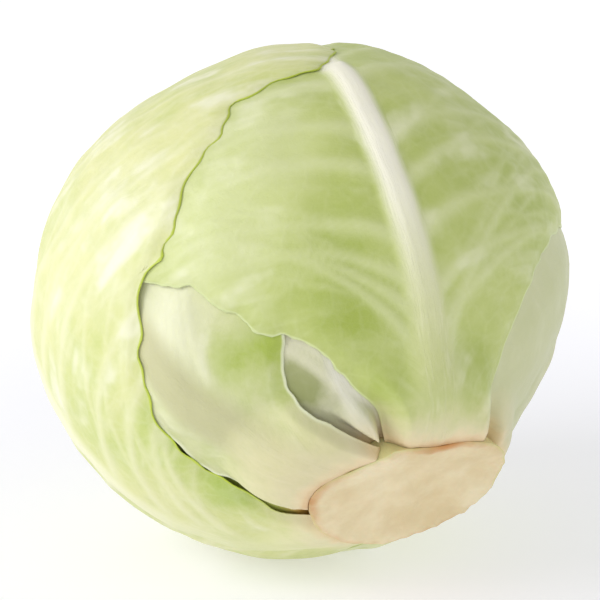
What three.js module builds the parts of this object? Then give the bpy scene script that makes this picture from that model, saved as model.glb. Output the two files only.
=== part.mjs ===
// A head of white cabbage lying on its side, as cut from the field. Millimetres, +Z up.
// The origin is on the small flat spot that the head rests on, straight below the head's centre,
// and the cut stem points forwards, along -Y, and down.
// Places on the head are directions from its centre, in degrees. "polar" is the angle from the
// stem's axis, 0 at the stem and 180 at the crown. "clock" turns round that axis as on a clock face
// seen from in front of the stem: 0 is the top of the head, 90 is its right side (+X).
import * as THREE from "three";

// The head's own size and shape.
const head = {
  equatorRadius: 76.6,
  crownHalf: 67,
  stemHalf: 71.5,
  centreHeight: 73,
  stemDip: 35,
  // Low swellings and dips of the outer skin: where, how high and how far round they reach.
  lumps: [
    { polar: 50, clock: 180, height: 0.8, reach: 24 },
    { polar: 42, clock: 88, height: -4.0, reach: 21 },
    { polar: 80, clock: 56, height: 1.3, reach: 18 },
    { polar: 100, clock: 38, height: -1.6, reach: 18 },
    { polar: 130, clock: -77, height: 1.6, reach: 20 },
    { polar: 142, clock: -34, height: -1.3, reach: 17 },
    { polar: 118, clock: 140, height: 1.2, reach: 22 },
    { polar: 95, clock: -155, height: -0.9, reach: 20 },
  ],
};

// The cut stem: its face is square to the stem's axis, and its outline is an uneven oval, widest
// where the stalks of the lower leaves were cut with it. Each pair is [clock, radius of the face].
const stem = {
  faceHeight: 73,
  outline: [
    [0, 22], [30, 24.5], [60, 28.5], [90, 29], [120, 26.5], [150, 23], [180, 22], [210, 21.5],
    [240, 24], [265, 29], [288, 34.5], [305, 30.5], [318, 27], [335, 25.5],
  ],
  spokes: 48,
  dish: 1.1,
  rimRound: 1.6,
  depthBelowSkin: 11,
};

// How the leaves lie on one another: the next leaf down is one pitch deeper. Beyond a leaf's edge
// the skin below stays down for "step" and comes back up over "ramp".
const layer = { thickness: 1.2, pitch: 2.4, step: 8, ramp: 25 };

// Leaves, outermost first. An outline is drawn on the leaf's own map: x across and y along the leaf
// in degrees of arc from the point at polar 90 on its clock line, with the stem at y = -90.
// "base" gives the clock angles of the stalk's left side, middle and right side where it meets the
// stem. "left" and "right" are the edges from there to the tip, and "rib" is the midrib.
const leaves = [
  {
    name: "leaf_under",
    clock: 168,
    base: [120, 156, 181],
    left: [[-28, -65], [-37, -50], [-43, -34], [-48, -12], [-49, 12], [-44, 38], [-31, 62], [-14, 78]],
    right: [[3, -62], [9, -50], [21, -38], [35, -23], [43, -3], [45, 18], [40, 42], [29, 62], [16, 77]],
    rib: [[-3, -55], [-2, -30], [-1, 0], [1, 35], [2, 62]],
    tip: [2, 84],
    ribHeight: 1.2,
    ribHalf: 6.5,
    ribFan: 8,
    stalkRise: 0.2,
    stalkReach: 10,
    grid: { along: 20, left: 9, right: 9 },
    colour: 0xd3db98,
  },
  {
    name: "leaf_left",
    clock: -105,
    base: [-188, -139, -114],
    left: [[-43, -75], [-58, -60], [-67, -40], [-71, -14], [-71, 12], [-66, 36], [-52, 60], [-30, 78], [-4, 90]],
    right: [
      [-1, -62], [6, -54], [9, -49], [11, -44], [17, -35], [20, -31], [25, -28], [30, -23], [36, -20], [39, -15], [47, -12],
      [53, -9], [58, -5], [62, 0], [67, 6], [74, 13], [85, 21], [95, 26], [96, 44], [84, 66], [60, 82],
      [34, 92],
    ],
    rib: [[-19, -56], [-17, -42], [-13, -28], [-7, -12], [-2, 4], [2, 28], [6, 60]],
    tip: [14, 95],
    ribHeight: 1.4,
    ribHalf: 7,
    ribFan: 8,
    stalkRise: 0.3,
    stalkReach: 12,
    grid: { along: 24, left: 10, right: 14 },
    colour: 0xe6e9b8,
  },
  {
    name: "leaf_front",
    clock: -3,
    base: [-31, 2, 58],
    left: [
      [-14, -64], [-20, -56], [-26, -47], [-33, -40.7], [-39, -37.5], [-40.5, -33.5], [-45, -29], [-48.6, -22],
      [-57, -15], [-63, -7],
      [-68, 6], [-70, 24], [-64, 48], [-50, 70], [-28, 88],
    ],
    right: [
      [22, -66], [23, -58], [27, -48], [34, -38], [46, -26], [59, -17], [69, -4], [73, 16], [69, 40],
      [56, 64], [34, 84],
    ],
    rib: [[0, -52], [-2, -25], [-2, 0], [0, 25], [3, 60]],
    tip: [5, 97],
    ribHeight: 2.6,
    ribHalf: 6,
    ribFan: 14,
    stalkRise: 1,
    stalkReach: 22,
    grid: { along: 24, left: 11, right: 11 },
    colour: 0xbdcb7d,
  },
  {
    name: "leaf_right",
    clock: 75,
    base: [38, 88, 146],
    left: [[-29, -65], [-37, -56], [-42, -45], [-45, -33], [-50, -16], [-51, 0], [-49, 24], [-40, 48], [-24, 70]],
    right: [[39, -70], [49, -54], [56, -36], [60, -16], [61, 4], [58, 28], [46, 54], [26, 76]],
    rib: [[8, -55], [10, -30], [9, 0], [6, 35], [3, 62]],
    tip: [2, 88],
    ribHeight: 1.6,
    ribHalf: 6.5,
    ribFan: 8,
    stalkRise: 0.45,
    stalkReach: 13,
    grid: { along: 18, left: 9, right: 9 },
    colour: 0xc9d19b,
  },
  {
    name: "leaf_lower",
    clock: -78,
    base: [-91, -60, -34.5],
    left: [[-6, -62], [-8, -57], [-10, -50], [-9, -42], [-7, -36], [-7, -31], [-9, -25], [-9, -17], [-4, -5]],
    right: [[20.5, -61], [20.5, -55], [22, -49], [26, -44], [31, -39], [34, -28], [32, -14], [23, 0]],
    rib: [[8, -60], [6, -51], [5, -42], [5, -33], [7, -20]],
    tip: [9, 6],
    ribHeight: 2.6,
    ribHalf: 11.5,
    ribFan: 3,
    stalkRise: 1,
    stalkReach: 20,
    grid: { along: 15, left: 6, right: 8 },
    colour: 0xd9dba6,
  },
  {
    name: "leaf_inner",
    clock: -42,
    base: [-60, -38, -18],
    left: [[-10, -60], [-14, -52], [-17, -42], [-17, -32], [-12, -23]],
    right: [[11, -60], [14, -52], [17, -42], [18, -32], [14, -23]],
    rib: [[5, -58], [6, -50], [8, -42], [8, -32]],
    tip: [2, -17],
    ribHeight: 1,
    ribHalf: 6,
    ribFan: 4,
    stalkRise: 0.9,
    stalkReach: 14,
    grid: { along: 9, left: 5, right: 5 },
    colour: 0xd8d8b4,
  },
];

// The stalk rises to the cut face over this many degrees, and shoulders off towards its sides.
const stalk = { belowFace: 0.8, flatShare: 0.6, gap: 0.9 };
const stalkClear = { step: 6.5, ramp: 9 };
// A rib stays down where a leaf above covers it, and for this far beyond that leaf's edge.
const ribClear = { step: 5, ramp: 8 };
const sideShare = 0.74;
const vein = { height: 0.5, spacing: 17, slant: 0.55, leanMost: 34 };
const core = { along: 26, around: 40, stemBlend: [28, 42], colour: 0xdfe0bd };

const rad = THREE.MathUtils.degToRad;
const mmPerDegree = (Math.PI / 180) * head.equatorRadius;
const dip = rad(head.stemDip);
const stemAxis = new THREE.Vector3(0, -Math.cos(dip), -Math.sin(dip));
const upAxis = new THREE.Vector3(0, -Math.sin(dip), Math.cos(dip));
const sideAxis = new THREE.Vector3(1, 0, 0);
const centre = new THREE.Vector3(0, 0, head.centreHeight);

const smoothstep = THREE.MathUtils.smoothstep;
const lerp = THREE.MathUtils.lerp;

function directionOf(polar, clock) {
  const p = rad(polar);
  const c = rad(clock);
  return new THREE.Vector3()
    .addScaledVector(stemAxis, Math.cos(p))
    .addScaledVector(upAxis, Math.sin(p) * Math.cos(c))
    .addScaledVector(sideAxis, Math.sin(p) * Math.sin(c));
}

function polarOf(direction) {
  return THREE.MathUtils.radToDeg(Math.acos(THREE.MathUtils.clamp(direction.dot(stemAxis), -1, 1)));
}

function clockOf(direction) {
  return THREE.MathUtils.radToDeg(Math.atan2(direction.dot(sideAxis), direction.dot(upAxis)));
}

// The outer skin's distance from the centre, without the flat spot.
function skinRadius(direction) {
  const along = direction.dot(stemAxis);
  const half = along > 0 ? head.stemHalf : head.crownHalf;
  let radius = 1 / Math.sqrt((along / half) ** 2 + (1 - along * along) / head.equatorRadius ** 2);
  for (const lump of lumpDirections) {
    const apart = direction.angleTo(lump.direction) / lump.reach;
    radius += lump.height * Math.exp(-apart * apart);
  }
  return radius;
}

const lumpDirections = head.lumps.map((lump) => ({
  direction: directionOf(lump.polar, lump.clock),
  height: lump.height,
  reach: rad(lump.reach),
}));

// The floor holds the skin up: no point may reach below it.
function aboveFloor(direction, radius) {
  return direction.z < 0 ? Math.min(radius, head.centreHeight / -direction.z) : radius;
}

function pointAt(direction, radius) {
  return centre.clone().addScaledVector(direction, radius);
}

// The radius of the cut face at a clock angle, smooth between the named points.
function stemOutline(clock) {
  const turn = ((clock % 360) + 360) % 360;
  const points = stem.outline;
  const count = points.length;
  let i = points.findLastIndex((p) => p[0] <= turn);
  const at = (k) => points[(k + count) % count];
  const span = (((at(i + 1)[0] - at(i)[0]) % 360) + 360) % 360;
  const t = (turn - at(i)[0]) / span;
  const [a, b, c, d] = [at(i - 1)[1], at(i)[1], at(i + 1)[1], at(i + 2)[1]];
  return 0.5 * (2 * b + (c - a) * t + (2 * a - 5 * b + 4 * c - d) * t * t + (3 * b - a - 3 * c + d) * t ** 3);
}

// The stem's side lies along lines from the head's centre, so its place is an angle.
function stemSidePolar(clock, gap) {
  return THREE.MathUtils.radToDeg(Math.atan((stemOutline(clock) + gap) / stem.faceHeight));
}

// Each leaf's own map: degrees across and along from the point at polar 90 on its clock line.
function mapAxes(leaf) {
  return {
    middle: directionOf(90, leaf.clock),
    across: directionOf(90, leaf.clock + 90),
    along: stemAxis.clone().negate(),
  };
}

function fromMap(leaf, x, y) {
  const reach = Math.hypot(x, y);
  if (reach < 1e-9) return leaf.axes.middle.clone();
  const r = rad(reach);
  return new THREE.Vector3()
    .addScaledVector(leaf.axes.middle, Math.cos(r))
    .addScaledVector(leaf.axes.across, (Math.sin(r) * x) / reach)
    .addScaledVector(leaf.axes.along, (Math.sin(r) * y) / reach);
}

function toMap(leaf, direction) {
  const x = direction.dot(leaf.axes.across);
  const y = direction.dot(leaf.axes.along);
  const flat = Math.hypot(x, y);
  if (flat < 1e-9) return new THREE.Vector2(0, 0);
  const reach = THREE.MathUtils.radToDeg(Math.atan2(flat, direction.dot(leaf.axes.middle)));
  return new THREE.Vector2((reach * x) / flat, (reach * y) / flat);
}

// The foot of the leaf follows the stem's side at a small gap. side runs from -1, left, to 1, right.
function footOnMap(leaf, side) {
  const [left, middle, right] = leaf.base;
  const clock = side < 0 ? lerp(middle, left, -side) : lerp(middle, right, side);
  return toMap(leaf, directionOf(stemSidePolar(clock, stalk.gap), clock));
}

function splineOnMap(points) {
  const curve = new THREE.SplineCurve(points.map((p) => (p.isVector2 ? p : new THREE.Vector2(...p))));
  curve.arcLengthDivisions = 120;
  return curve;
}

function prepare(leaf) {
  leaf.axes = mapAxes(leaf);
  const tip = new THREE.Vector2(...leaf.tip);
  leaf.leftEdge = splineOnMap([footOnMap(leaf, -1), ...leaf.left, tip]);
  leaf.rightEdge = splineOnMap([footOnMap(leaf, 1), ...leaf.right, tip]);
  leaf.midrib = splineOnMap([footOnMap(leaf, 0), ...leaf.rib, tip]);
  const outline = [];
  for (let i = 0; i <= 40; i++) outline.push(leaf.leftEdge.getPointAt(i / 40));
  for (let i = 39; i >= 0; i--) outline.push(leaf.rightEdge.getPointAt(i / 40));
  for (let i = 1; i < 8; i++) outline.push(footOnMap(leaf, 1 - i / 4));
  leaf.outline = outline;
}

// A blended patch between the midrib, one edge, the foot and that side of the tip.
function patch(leaf, u, side, v) {
  const edge = side < 0 ? leaf.leftEdge : leaf.rightEdge;
  const rib = leaf.midrib.getPointAt(u);
  const margin = edge.getPointAt(u * sideShare);
  const foot = footOnMap(leaf, side * v);
  const tip = edge.getPointAt(1 - v * (1 - sideShare));
  const corners = [leaf.midrib.getPointAt(0), edge.getPointAt(0), leaf.midrib.getPointAt(1), edge.getPointAt(sideShare)];
  const blend = (k) =>
    (1 - v) * rib[k] + v * margin[k] + (1 - u) * foot[k] + u * tip[k] -
    ((1 - u) * (1 - v) * corners[0][k] + (1 - u) * v * corners[1][k] + u * (1 - v) * corners[2][k] + u * v * corners[3][k]);
  return new THREE.Vector2(blend("x"), blend("y"));
}

// Millimetres from a leaf's outline on its map: positive inside, negative outside.
function insideBy(leaf, direction) {
  const p = toMap(leaf, direction);
  const points = leaf.outline;
  let inside = false;
  let nearest = Infinity;
  for (let i = 0, j = points.length - 1; i < points.length; j = i++) {
    const a = points[j];
    const b = points[i];
    const dx = b.x - a.x;
    const dy = b.y - a.y;
    const t = THREE.MathUtils.clamp(((p.x - a.x) * dx + (p.y - a.y) * dy) / (dx * dx + dy * dy + 1e-12), 0, 1);
    nearest = Math.min(nearest, Math.hypot(p.x - a.x - t * dx, p.y - a.y - t * dy));
    if (a.y > p.y !== b.y > p.y && p.x < a.x + (dx * (p.y - a.y)) / dy) inside = !inside;
  }
  return (inside ? nearest : -nearest) * mmPerDegree;
}

// 1 under a leaf and for "step" beyond its edge, then down to 0 over "ramp".
function cover(leaf, direction, { step, ramp }) {
  return smoothstep(insideBy(leaf, direction), -step - ramp, -step);
}

function depthBelow(above, direction) {
  return above.reduce((sum, leaf) => sum + layer.pitch * cover(leaf, direction, layer), 0);
}

// The blade's own relief: a broad midrib that fades towards the tip, and low side veins.
function reliefOf(leaf, u, v, across, along) {
  const ribHalf = leaf.ribHalf * (1 - 0.45 * u) + leaf.ribFan * Math.exp(-u / 0.075);
  const ribHeight = leaf.ribHeight * (1 - u) ** 0.6;
  const rib = ribHeight * (1 - smoothstep(across / ribHalf, 0.45, 1.1));
  const turn = (along - across * vein.slant * Math.exp(-across / vein.leanMost / 2)) / vein.spacing;
  const fade = smoothstep(across, ribHalf * 0.6, ribHalf * 1.4) * (1 - smoothstep(v, 0.75, 1));
  return rib + vein.height * fade * Math.max(0, Math.cos(2 * Math.PI * turn)) ** 2;
}

function leafSurfaces(leaf, above, u, side, v) {
  const at = patch(leaf, u, side, v);
  const direction = fromMap(leaf, at.x, at.y);
  const depth = depthBelow(above, direction);
  const skin = aboveFloor(direction, skinRadius(direction)) - depth;
  const across = at.distanceTo(leaf.midrib.getPointAt(u)) * mmPerDegree;
  const along = u * leaf.midrib.getLength() * mmPerDegree;
  const open = above.reduce((least, other) => Math.min(least, 1 - cover(other, direction, ribClear)), 1);
  let outer = skin + open * reliefOf(leaf, u, v, across, along);
  const polar = polarOf(direction);
  const foot = stemSidePolar(clockOf(direction), stalk.gap);
  const reach = 1 - smoothstep(polar - foot, 0, leaf.stalkReach);
  const rise = leaf.stalkRise * reach * (1 - smoothstep(v, stalk.flatShare, 0.92));
  const rim = (stem.faceHeight - stalk.belowFace) / Math.cos(rad(Math.min(polar, 45)));
  const clear = above.reduce((least, other) => Math.min(least, 1 - cover(other, direction, stalkClear)), 1);
  outer = lerp(outer, Math.max(outer, rim), rise * clear);
  outer = aboveFloor(direction, outer);
  return { outer: pointAt(direction, outer), inner: pointAt(direction, skin - layer.thickness) };
}

// A closed solid from two grids of points, outer and inner, that share their edges' rows.
function shell(outer, inner) {
  const rows = outer.length;
  const columns = outer[0].length;
  const positions = [];
  const quad = (a, b, c, d) => {
    for (const p of [a, b, c, a, c, d]) positions.push(p.x, p.y, p.z);
  };
  for (let i = 0; i + 1 < rows; i++)
    for (let j = 0; j + 1 < columns; j++) {
      quad(outer[i][j], outer[i][j + 1], outer[i + 1][j + 1], outer[i + 1][j]);
      // The same diagonal as on the outer face, so that the two faces never cross.
      for (const p of [inner[i][j], inner[i + 1][j + 1], inner[i][j + 1], inner[i][j], inner[i + 1][j], inner[i + 1][j + 1]])
        positions.push(p.x, p.y, p.z);
    }
  for (let j = 0; j + 1 < columns; j++) {
    quad(outer[0][j], inner[0][j], inner[0][j + 1], outer[0][j + 1]);
    quad(outer[rows - 1][j + 1], inner[rows - 1][j + 1], inner[rows - 1][j], outer[rows - 1][j]);
  }
  for (let i = 0; i + 1 < rows; i++) {
    quad(outer[i + 1][0], inner[i + 1][0], inner[i][0], outer[i][0]);
    quad(outer[i][columns - 1], inner[i][columns - 1], inner[i + 1][columns - 1], outer[i + 1][columns - 1]);
  }
  return geometryOf(positions);
}

function geometryOf(positions) {
  const geometry = new THREE.BufferGeometry();
  geometry.setAttribute("position", new THREE.Float32BufferAttribute(positions, 3));
  geometry.computeVertexNormals();
  return geometry;
}

// Grid lines lie closer together near the midrib, which is the sharpest form on the blade.
function acrossLines({ left, right }) {
  const lines = [];
  for (let i = left; i > 0; i--) lines.push([-1, (i / left) ** 1.25]);
  for (let i = 0; i <= right; i++) lines.push([1, (i / right) ** 1.25]);
  return lines;
}

function makeLeaf(leaf, above) {
  const outer = [];
  const inner = [];
  for (let i = 0; i <= leaf.grid.along; i++) {
    const row = acrossLines(leaf.grid).map(([side, v]) => leafSurfaces(leaf, above, i / leaf.grid.along, side, v));
    outer.push(row.map((p) => p.outer));
    inner.push(row.map((p) => p.inner));
  }
  return shell(outer, inner);
}

// The packed inner leaves: one dense ball that fills the space below the outer leaves.
function coreRadius(direction) {
  const skin = aboveFloor(direction, skinRadius(direction));
  const blend = smoothstep(polarOf(direction), ...core.stemBlend);
  return skin - lerp(stem.depthBelowSkin, depthBelow(leaves, direction), blend);
}

function makeCore() {
  const positions = [];
  const at = (i, j) => {
    const pole = i === 0 || i === core.along;
    const clock = pole ? 0 : (360 * (j % core.around)) / core.around;
    const direction = directionOf((180 * i) / core.along, clock);
    return pointAt(direction, coreRadius(direction));
  };
  const push = (...points) => points.forEach((p) => positions.push(p.x, p.y, p.z));
  for (let i = 0; i < core.along; i++)
    for (let j = 0; j < core.around; j++) {
      const [a, b, c, d] = [at(i, j), at(i, j + 1), at(i + 1, j + 1), at(i + 1, j)];
      if (i > 0) push(a, b, c);
      if (i < core.along - 1) push(a, c, d);
    }
  return geometryOf(positions);
}

// The stem: a short cone from the packed leaves up to the cut face, which is a little dished.
function makeStem() {
  const rings = [];
  const ring = (share, height) => {
    const row = [];
    for (let j = 0; j < stem.spokes; j++) {
      const clock = (360 * j) / stem.spokes;
      const direction = directionOf(stemSidePolar(clock, 0) * share, clock);
      row.push(height(direction));
    }
    rings.push(row);
  };
  const onPlane = (direction, drop) =>
    pointAt(direction, (stem.faceHeight - drop) / direction.dot(stemAxis));
  const bottom = (direction) => pointAt(direction, coreRadius(direction) + 0.9);
  for (const share of [0.3, 0.6, 0.85, 1]) ring(share, bottom);
  ring(1, (direction) => onPlane(direction, stem.rimRound));
  ring(0.96, (direction) => onPlane(direction, 0.4));
  ring(0.9, (direction) => onPlane(direction, 0));
  ring(0.6, (direction) => onPlane(direction, stem.dish * 0.5));
  ring(0.3, (direction) => onPlane(direction, stem.dish));
  const positions = [];
  const push = (...points) => points.forEach((p) => positions.push(p.x, p.y, p.z));
  const first = bottom(stemAxis);
  const last = onPlane(stemAxis, stem.dish);
  for (let j = 0; j < stem.spokes; j++) {
    const k = (j + 1) % stem.spokes;
    push(first, rings[0][j], rings[0][k]);
    push(last, rings.at(-1)[k], rings.at(-1)[j]);
    for (let i = 0; i + 1 < rings.length; i++) {
      push(rings[i][j], rings[i + 1][k], rings[i][k]);
      push(rings[i][j], rings[i + 1][j], rings[i + 1][k]);
    }
  }
  return geometryOf(positions);
}

function skinMaterial(colour, roughness = 0.5) {
  return new THREE.MeshStandardMaterial({ color: colour, roughness, metalness: 0 });
}

function meshOf(name, geometry, material) {
  const mesh = new THREE.Mesh(geometry, material);
  mesh.name = name;
  return mesh;
}

leaves.forEach(prepare);
const cabbage = new THREE.Group();
cabbage.add(meshOf("inner_head", makeCore(), skinMaterial(core.colour)));
cabbage.add(meshOf("stem", makeStem(), skinMaterial(0xdccba2, 0.75)));
leaves.forEach((leaf, i) => {
  cabbage.add(meshOf(leaf.name, makeLeaf(leaf, leaves.slice(0, i)), skinMaterial(leaf.colour)));
});

export default cabbage;
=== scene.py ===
import math

import bmesh
import bpy
import numpy as np
from mathutils import Matrix, Vector


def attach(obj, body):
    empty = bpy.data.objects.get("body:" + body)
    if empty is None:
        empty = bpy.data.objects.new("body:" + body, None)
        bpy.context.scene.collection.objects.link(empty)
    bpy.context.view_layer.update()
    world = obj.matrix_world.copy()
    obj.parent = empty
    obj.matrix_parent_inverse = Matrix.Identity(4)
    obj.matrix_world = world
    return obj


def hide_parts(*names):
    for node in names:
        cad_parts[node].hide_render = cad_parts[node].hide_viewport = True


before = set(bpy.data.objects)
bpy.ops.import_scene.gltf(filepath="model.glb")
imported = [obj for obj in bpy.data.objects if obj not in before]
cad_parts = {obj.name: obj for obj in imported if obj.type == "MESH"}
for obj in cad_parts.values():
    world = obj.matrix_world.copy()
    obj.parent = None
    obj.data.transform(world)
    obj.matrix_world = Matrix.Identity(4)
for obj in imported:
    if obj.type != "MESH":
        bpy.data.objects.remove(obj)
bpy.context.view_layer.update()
print("frame loaded:", len(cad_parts), "nodes")

mm = 0.001

head = {
    "equator": 76.6,
    "crown": 67.0,
    "stemHalf": 71.5,
    "centreHeight": 73.0,
    "dip": 35.0,
    "lumps": [  # polar, clock, height, reach
        (50, 180, 0.8, 24),
        (42, 88, -4.0, 21),
        (80, 56, 1.3, 18),
        (100, 38, -1.6, 18),
        (130, -77, 1.6, 20),
        (142, -34, -1.3, 17),
        (118, 140, 1.2, 22),
        (95, -155, -0.9, 20),
    ],
}
# a leaf lies one pitch deeper under each leaf over it, and comes up beside that leaf's edge over the ramp
layer = {"thickness": 0.6, "pitch": 1.2, "step": 1.0, "ramp": 12.0}

dip = math.radians(head["dip"])
stemAxis = np.array([0, -math.cos(dip), -math.sin(dip)])
upAxis = np.array([0, -math.sin(dip), math.cos(dip)])
sideAxis = np.array([1.0, 0, 0])
centre = np.array([0, 0, head["centreHeight"]])
mmPerDegree = math.radians(head["equator"])


def directionOf(polar, clock):
    p, c = np.radians(polar), np.radians(clock)
    return (
        np.multiply.outer(np.cos(p), stemAxis)
        + np.multiply.outer(np.sin(p) * np.cos(c), upAxis)
        + np.multiply.outer(np.sin(p) * np.sin(c), sideAxis)
    )


def polarOf(d):
    return np.degrees(np.arccos(np.clip(d @ stemAxis, -1, 1)))


def clockOf(d):
    return np.degrees(np.arctan2(d @ sideAxis, d @ upAxis))


def smooth(x, low, high):
    t = np.clip((x - low) / (high - low), 0, 1)
    return t * t * (3 - 2 * t)


def skinRadius(d):
    along = d @ stemAxis
    half = np.where(along > 0, head["stemHalf"], head["crown"])
    radius = 1 / np.sqrt((along / half) ** 2 + (1 - along**2) / head["equator"] ** 2)
    for polar, clock, height, reach in head["lumps"]:
        apart = np.degrees(np.arccos(np.clip(d @ directionOf(polar, clock), -1, 1))) / reach
        radius = radius + height * np.exp(-(apart**2))
    return radius


def aboveFloor(d, radius):
    down = np.maximum(-d[..., 2], 1e-6)
    return np.minimum(radius, np.where(d[..., 2] < 0, head["centreHeight"] / down, 1e9))


def wobble(d, seed, wave):  # a smooth random swelling of about -1 to 1, with that wavelength
    draw = np.random.default_rng(seed)
    total = np.zeros(d.shape[:-1])
    for _ in range(7):
        way = draw.normal(size=3)
        way = way / np.linalg.norm(way) * draw.uniform(0.7, 1.4)
        total += np.sin(d @ way * head["equator"] * 2 * math.pi / wave + draw.uniform(0, 6.3))
    return total / 3.2


def between(a, b, c, d, t):  # the smooth curve through four points, from b at 0 to c at 1
    return 0.5 * (2 * b + (c - a) * t + (2 * a - 5 * b + 4 * c - d) * t**2 + (3 * b - a - 3 * c + d) * t**3)


# the cut stem, and its outline, which the leaves' feet follow too

stem = {
    "faceHeight": 73.0,
    "outline": [  # clock, radius of the face
        (0, 22), (30, 24.5), (60, 28.5), (90, 29), (120, 26.5), (150, 23), (180, 22), (210, 21.5),
        (240, 24), (265, 29), (288, 34.5), (305, 30.5), (318, 27), (335, 25.5),
    ],
    "dish": 1.6,
    "rimRound": 1.1,
    "depth": 11.0,
    "browned": [(12, 26, 0.9), (-78, 16, 0.8), (-130, 25, 0.5), (150, 30, 0.4)],  # clock, reach, strength
    "rough": [(5, 9, 0.35), (6, 22, 0.55)],  # seed, wavelength, height of the cut's unevenness
    "rootGap": 0.9,
    "segments": (200, 150),
    "flesh": "ecdeb8",
    "fleshShade": "dcc89b",
    "brown": "c98a4a",
    "skin": "cfcf84",
    "roughness": 0.62,
    "subsurface": 0.1,
    "subsurfaceScale": 0.003,
}


def stemOutline(clock):
    turns = np.array([p[0] for p in stem["outline"]], float)
    radii = np.array([p[1] for p in stem["outline"]], float)
    count = len(turns)
    clock = np.mod(clock, 360)
    i = np.searchsorted(turns, clock, side="right") - 1
    span = np.mod(turns[(i + 1) % count] - turns[i], 360)
    t = (clock - turns[i]) / span
    return between(*(radii[(i + k) % count] for k in (-1, 0, 1, 2)), t)


def brownAt(clock):  # how browned the cut is at that place on its rim, 0 to 1
    total = np.full(np.shape(clock), 0.1)
    for middle, reach, strength in stem["browned"]:
        total = total + strength * np.exp(-((((clock - middle + 180) % 360 - 180) / reach) ** 2))
    return np.clip(total, 0, 1)


def stemSidePolar(clock, gap):
    return np.degrees(np.arctan((stemOutline(clock) + gap) / stem["faceHeight"]))


# The leaves, outermost first. Outlines are on each leaf's own map: degrees across and along from the
# point at polar 90 on its clock line, with the stem at -90. A vein is its height on the map at the midrib and
# its slope. A spot is its place on the map, its reach, and how much greener, or paler below 0, it is there.

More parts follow.
